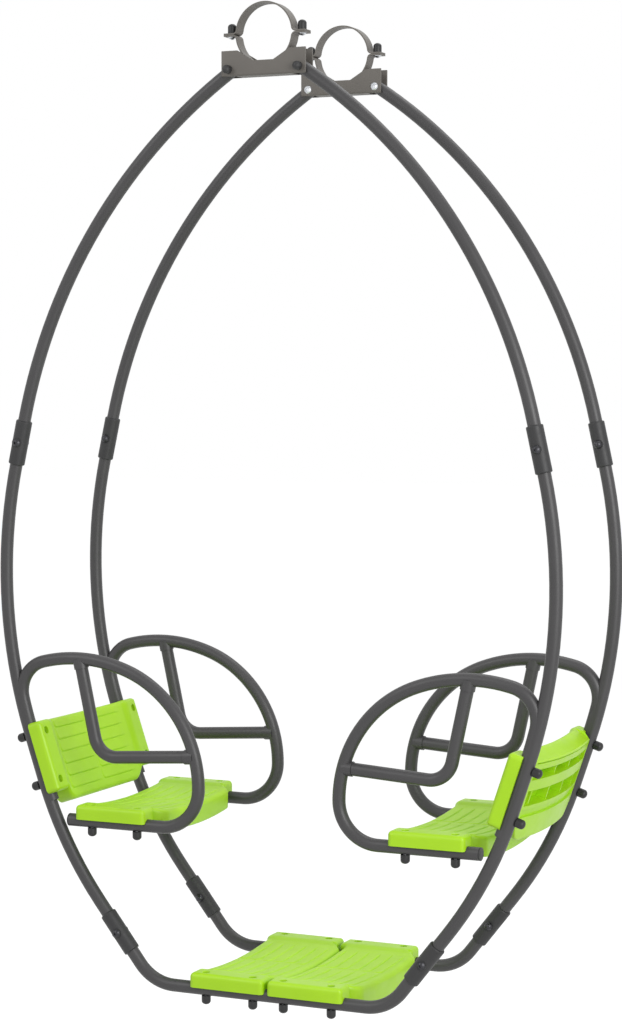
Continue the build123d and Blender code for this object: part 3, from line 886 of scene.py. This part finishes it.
def cover_points(feet, axes, radius, height, dome):
    """Points of covers: rings of a skirt, then of a quarter ellipse that ends at the pole.

    There is one cover for each foot, in metres. Its axis is square to the swing's Y axis.
    """
    turn = np.linspace(0.0, math.pi / 2, cover_dome_rings)
    skirt = height - dome
    ring_radius = np.concatenate([[0.0, radius - cover_edge, radius], radius * np.cos(turn)])
    ring_height = np.concatenate([[0.0, 0.0, cover_edge], skirt + dome * np.sin(turn)])
    angle = np.linspace(0.0, 2 * math.pi, cover_sides, endpoint=False)
    aside = np.cross(axes, [0.0, 1.0, 0.0])
    across = np.cross(axes, aside)
    outwards = aside[:, None] * np.cos(angle)[:, None] + across[:, None] * np.sin(angle)[:, None]
    lift = ring_height[None, :, None, None] * axes[:, None, None]
    reach = ring_radius[None, :, None, None] * outwards[:, None]
    return feet[:, None, None] + (lift + reach) * millimetre


def grid_mesh(name, points):
    """Closed tubes from points in a (tubes, rings, sides, 3) array, welded at their poles."""
    faces = np.concatenate([quads(tube) for tube in looped(numbered(points, 0))])
    mesh = bpy.data.meshes.new(name)
    mesh.from_pydata(points.reshape(-1, 3).tolist(), [], faces[:, ::-1].tolist())
    weld(mesh)
    return mesh


cover_feet = []
cover_axes = []
for node, (axes, origin) in board_frames.items():
    seat_level = back_seat_level if node.startswith("back") else flat_seat_level
    for u in (-bolt_u, bolt_u):
        for v in (-tube_axis_v, tube_axis_v):
            cover_feet.append(np.array([u, v, seat_level]) * millimetre @ axes + origin)
            cover_axes.append(-axes[2])
covers = cover_points(np.array(cover_feet), np.array(cover_axes), **board_cover)
mesh = grid_mesh("board_nut_covers", covers)
add_piece(mesh, plug_plastic, swing_body, "board_nut_caps")

for side in ("left", "right"):
    exact = exact_points(f"clamp_nut_caps_{side}")
    feet = []
    for way in (-1, 1):
        near = exact[exact[:, 0] * way > 0.0]
        middle = (near.min(axis=0) + near.max(axis=0)) / 2
        feet.append([middle[0], middle[1], near[:, 2].min()])
    covers = cover_points(np.array(feet), np.array([[0.0, 0.0, 1.0]] * 2), **clamp_cover)
    mesh = grid_mesh(f"clamp_nut_covers_{side}", covers)
    add_piece(mesh, plug_plastic, f"clamp_top_{side}", f"clamp_nut_caps_{side}")

# %% [markdown]
# ## Saddle plates
# Under each clamp sits a channel folded from plate. Its two sides are cut away for the
# beam: a level floor and two straight slopes. A side is a section, a straight wall with
# a rounded fold at the foot, that is carried along the channel while its top edge
# follows the cut.

# %% Saddle plates
saddle_half_length = 93.4
saddle_top = -32.5
saddle_foot = -84.0
saddle_plate = 4.0
saddle_web_half = 62.0
notch_mouth = 58.0
notch_half_floor = 22.0
notch_floor = -54.0
edge_break = 0.5
fold_points = 7
web_lift = 0.2


def side_section(inner, way, top):
    """Section of one side as a loop of (y, z).

    It goes up the inside, over the top, down the outside and round the fold, a quarter
    circle as wide as the plate is thick.
    """
    turn = np.linspace(0.0, math.pi / 2, fold_points)
    outer = inner + way * saddle_plate
    fold_y = inner + way * saddle_plate * np.cos(turn)
    fold_z = saddle_foot + saddle_plate * (1.0 - np.sin(turn))
    wall_y = [inner, inner, inner + way * edge_break, outer - way * edge_break, outer]
    wall_z = [saddle_foot + edge_break, top - edge_break, top, top, top - edge_break]
    return np.stack([np.append(wall_y, fold_y), np.append(wall_z, fold_z)], axis=-1)


def along_channel(x, sections):
    """Points (x, y, z) of sections of (y, z), one section at each x."""
    stations = np.broadcast_to(x[:, None, None], sections.shape[:2] + (1,))
    return np.concatenate([stations, sections], axis=-1)


def saddle_rings(inner, way):
    """Sections along the channel, with their tops on the cut and a broken edge at both ends."""
    half = np.array([
        saddle_half_length, saddle_half_length, saddle_half_length - edge_break,
        notch_mouth, notch_half_floor,
    ])
    x = np.concatenate([-half, half[::-1]])
    level = np.interp(np.abs(x), [notch_half_floor, notch_mouth], [notch_floor, saddle_top])
    sections = np.stack([side_section(inner, way, top) for top in level])
    middle = sections[[0, -1]].mean(axis=1, keepdims=True)
    sections[[0, -1]] = middle
    sections[[1, -2]] += edge_break * np.sign(middle - sections[[1, -2]])
    rings = along_channel(x, sections)
    return rings if way < 0 else rings[:, ::-1]


def web_rings(inner):
    """The web between the sides, a flat bar with closed ends."""
    low = saddle_foot + web_lift
    high = saddle_foot + saddle_plate
    corners = np.array([[-inner, low], [-inner, high], [inner, high], [inner, low]])
    x = saddle_web_half * np.array([-1.0, -1.0, 1.0, 1.0])
    sections = np.repeat(corners[None], len(x), axis=0)
    sections[[0, -1]] = corners.mean(axis=0)
    return along_channel(x, sections)


for side in ("left", "right"):
    exact = exact_points(f"saddle_bracket_{side}")
    middle_y = (exact[:, 1].min() + exact[:, 1].max()) / 2
    inner = (exact[:, 1].max() - exact[:, 1].min()) / 2 / millimetre - saddle_plate
    meshes = [
        grid_mesh(f"saddle_channel_{side}", rings[None] * millimetre + [0.0, middle_y, 0.0])
        for rings in (saddle_rings(-inner, -1), saddle_rings(inner, 1), web_rings(inner))
    ]
    joined = bmesh.new()
    for mesh in meshes:
        joined.from_mesh(mesh)
    bmesh.ops.recalc_face_normals(joined, faces=joined.faces)
    channel = bpy.data.meshes.new(f"saddle_channel_{side}_plates")
    joined.to_mesh(channel)
    joined.free()
    add_piece(channel, bracket_coat, swing_body, f"saddle_bracket_{side}")

# %% [markdown]
# ## Floor and room
# The swing hangs a third of a metre over a plain pale floor. The floor takes the swing's
# shadow as a plain diffuse surface, and a glow that only the camera and mirror-like
# reflections see lifts it to the white of the room. The room does the same: it looks
# white, and gives a softer light to everything else.

# %% Floor and world
floor_drop = 0.36
floor_half_size = 30.0
floor_glow = 0.68
world_light = 0.72


def added(tree, one, other):
    """Sum of two numbers, at most 1."""
    return add_node(
        tree, "ShaderNodeMath", {"operation": "ADD", "use_clamp": True},
        _0=one, _1=other,
    ).outputs[0]


floor_z = cad_bounds[0][2] - floor_drop
floor_corners = floor_half_size * np.array([[-1, -1, 0], [1, -1, 0], [1, 1, 0], [-1, 1, 0]])
floor_corners[:, 2] = floor_z
floor_mesh = bpy.data.meshes.new("studio_floor")
floor_mesh.from_pydata(floor_corners.tolist(), [], [(0, 1, 2, 3)])
floor = bpy.data.objects.new("studio_floor", floor_mesh)
bpy.context.scene.collection.objects.link(floor)

floor_material, tree, place = new_material("matt_white_paint")
rays = add_node(tree, "ShaderNodeLightPath").outputs
seen = added(tree, rays["Is Camera Ray"], rays["Is Glossy Ray"])
glow_strength = add_node(tree, "ShaderNodeMath", {"operation": "MULTIPLY"}, _0=seen, _1=floor_glow)
paint = add_node(tree, "ShaderNodeBsdfDiffuse", Color=linear("#B4B4B4"))
glow = add_node(tree, "ShaderNodeEmission", Strength=glow_strength.outputs[0])
both = add_node(tree, "ShaderNodeAddShader", _0=paint.outputs[0], _1=glow.outputs[0])
finish_material(tree, both)
floor_mesh.materials.append(floor_material)

world = bpy.data.worlds.new("studio_room")
bpy.context.scene.world = world
world.use_nodes = True
tree = world.node_tree
tree.nodes.clear()
rays = add_node(tree, "ShaderNodeLightPath").outputs
camera_or_gloss = added(tree, rays["Is Camera Ray"], rays["Is Glossy Ray"])
seen = added(tree, camera_or_gloss, rays["Is Transmission Ray"])
room = add_node(tree, "ShaderNodeBackground", Color=linear("#FFFFFF"), Strength=world_light)
backdrop = add_node(tree, "ShaderNodeBackground", Color=linear("#FFFFFF"), Strength=1.0)
mixed = add_node(
    tree, "ShaderNodeMixShader",
    _0=seen, _1=room.outputs[0], _2=backdrop.outputs[0],
)
add_node(tree, "ShaderNodeOutputWorld", Surface=mixed.outputs[0])
print("floor at", round(floor_z, 3))

# %% [markdown]
# ## Lamps
# Three large square lamps face the middle of the swing: a high one to the left of the
# camera, the strongest one to its right at the height of the beam, and one overhead.

# %% Lamps
def soft_lamp(name, place, aim, size, power):
    """Square soft lamp that faces a point."""
    data = bpy.data.lights.new(name, "AREA")
    data.size = size
    data.energy = power
    lamp = bpy.data.objects.new(name, data)
    lamp.location = place
    lamp.rotation_euler = (Vector(aim) - Vector(place)).to_track_quat("-Z", "Y").to_euler()
    bpy.context.scene.collection.objects.link(lamp)
    print(name, "at", place, "size", size)


middle_of_swing = (0.0, 0.0, -1.2)
soft_lamp("key_lamp", (-2.4, -3.6, 1.6), middle_of_swing, size=2.2, power=42.0)
soft_lamp("fill_lamp", (3.8, -2.6, -0.1), middle_of_swing, size=2.5, power=115.0)
soft_lamp("top_lamp", (0.6, 1.2, 2.6), middle_of_swing, size=2.5, power=35.0)

# %% [markdown]
# ## Show colours as they are written
# The standard view keeps a colour as it was written, where a film look would grey it.

bpy.context.scene.view_settings.view_transform = "Standard"
